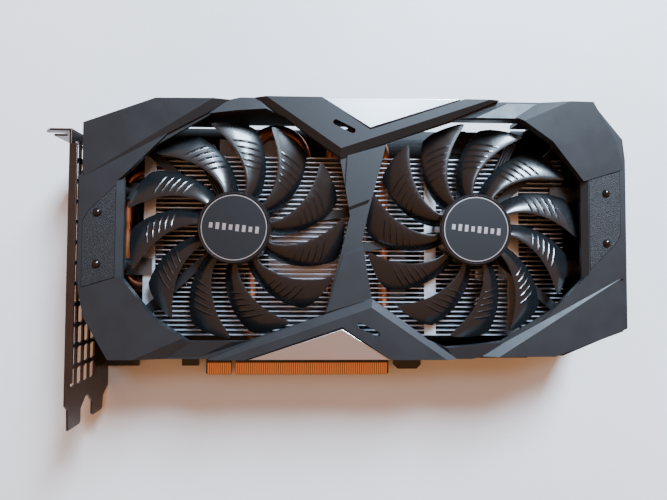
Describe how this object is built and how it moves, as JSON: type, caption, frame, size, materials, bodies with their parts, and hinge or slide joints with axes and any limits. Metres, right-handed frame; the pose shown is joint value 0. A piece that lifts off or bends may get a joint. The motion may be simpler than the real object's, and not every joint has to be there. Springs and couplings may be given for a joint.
{
  "type": "graphics card",
  "caption": "Dual-slot graphics card with two axial fans, angular shroud, finned heatsink with heat pipes, edge connector and vented slot bracket.",
  "frame": {"origin": "centre of the overall bounding box in X and Y, at the backplate's underside", "axes": "+X from the slot bracket to the far end, +Y from the edge connector to the opposite long edge, +Z out of the fan side"},
  "size_m": [0.2366, 0.1336, 0.0405],
  "materials": {
    "solder_mask_board": "satin black solder mask on glass-fibre board",
    "gold_plating": "thin polished gold plating",
    "chip_substrate": "green organic chip substrate",
    "silicon": "polished silicon",
    "chip_resin": "moulded black resin",
    "label_paper": "white printed sticker",
    "thermal_pad": "soft grey silicone pad",
    "choke_ferrite": "pressed ferrite",
    "can_aluminium": "bright drawn can",
    "socket_nylon": "black moulded nylon",
    "tin_pins": "tin-plated pins",
    "shell_steel": "nickel-plated pressed shell",
    "header_nylon": "off-white moulded nylon",
    "bracket_steel": "black nickel-plated steel sheet",
    "black_screws": "black zinc screws",
    "base_aluminium": "machined aluminium",
    "plate_steel": "pressed steel plate",
    "pipe_copper": "bare copper tube",
    "fin_aluminium": "bare rolled aluminium sheet",
    "steel_screws": "plain zinc steel",
    "backplate_metal": "matt black painted plate",
    "shroud_plastic": "charcoal moulded plastic, fine grain",
    "accent_silver": "satin silver painted trim",
    "grained_plastic": "charcoal plastic with leather grain",
    "pin_plastic": "gloss black plastic",
    "frame_plastic": "black moulded plastic",
    "motor_board": "small green circuit board",
    "bearing_bronze": "sintered bronze sleeve",
    "stator_steel": "stamped steel",
    "winding_copper": "enamelled copper wire",
    "lead_insulation": "thin black lead insulation",
    "rotor_plastic": "glossy black moulded plastic",
    "hub_label": "printed plastic disc with a silver ring",
    "magnet_ferrite": "bonded ferrite",
    "shaft_steel": "polished steel shaft"
  },
  "bodies": {
    "card": {"pcb": "solder_mask_board", "edge_contacts": "gold_plating", "gpu_package": "chip_substrate", "gpu_die": "silicon", "memory_chips": "chip_resin", "memory_pads": "thermal_pad", "chokes": "choke_ferrite", "power_chips": "chip_resin", "capacitors": "can_aluminium", "control_chips": "chip_resin", "power_socket": "socket_nylon", "power_pins": "tin_pins", "hdmi_socket": "shell_steel", "hdmi_tongue": "socket_nylon", "displayport_sockets": "shell_steel", "displayport_tongues": "socket_nylon", "fan_headers": "header_nylon", "io_bracket": "bracket_steel", "bracket_screws": "black_screws", "contact_base": "base_aluminium", "memory_plate": "plate_steel", "board_label": "label_paper", "heat_pipes": "pipe_copper", "end_pipe": "pipe_copper", "fin_stack": "fin_aluminium", "cooler_screws": "steel_screws", "cooler_washers": "steel_screws", "backplate": "backplate_metal", "backplate_screws": "black_screws", "fan_shroud": "shroud_plastic", "top_accent": "accent_silver", "bottom_accent": "accent_silver", "left_panel": "grained_plastic", "right_panel": "grained_plastic", "panel_pins": "pin_plastic", "shroud_straps": "plate_steel", "shroud_screws": "black_screws", "left_fan_frame": "frame_plastic", "right_fan_frame": "frame_plastic", "fan_frame_screws": "black_screws", "left_motor_board": "motor_board", "right_motor_board": "motor_board", "left_bearing": "bearing_bronze", "right_bearing": "bearing_bronze", "left_stator": "stator_steel", "right_stator": "stator_steel", "left_coils": "winding_copper", "right_coils": "winding_copper", "left_fan_leads": "lead_insulation", "right_fan_leads": "lead_insulation"},
    "left_fan": {"left_rotor": "rotor_plastic", "left_hub_label": "hub_label", "left_yoke": "stator_steel", "left_magnet": "magnet_ferrite", "left_shaft": "shaft_steel"},
    "right_fan": {"right_rotor": "rotor_plastic", "right_hub_label": "hub_label", "right_yoke": "stator_steel", "right_magnet": "magnet_ferrite", "right_shaft": "shaft_steel"}
  },
  "joints": [
    {"name": "left_fan_spin", "type": "hinge", "parent": "card", "child": "left_fan", "pos_m": [-0.04247, 0.01407, 0.0339], "axis": [0, 0, 1], "continuous": true},
    {"name": "right_fan_spin", "type": "hinge", "parent": "card", "child": "right_fan", "pos_m": [0.05563, 0.01407, 0.0339], "axis": [0, 0, 1], "continuous": true}
  ]
}
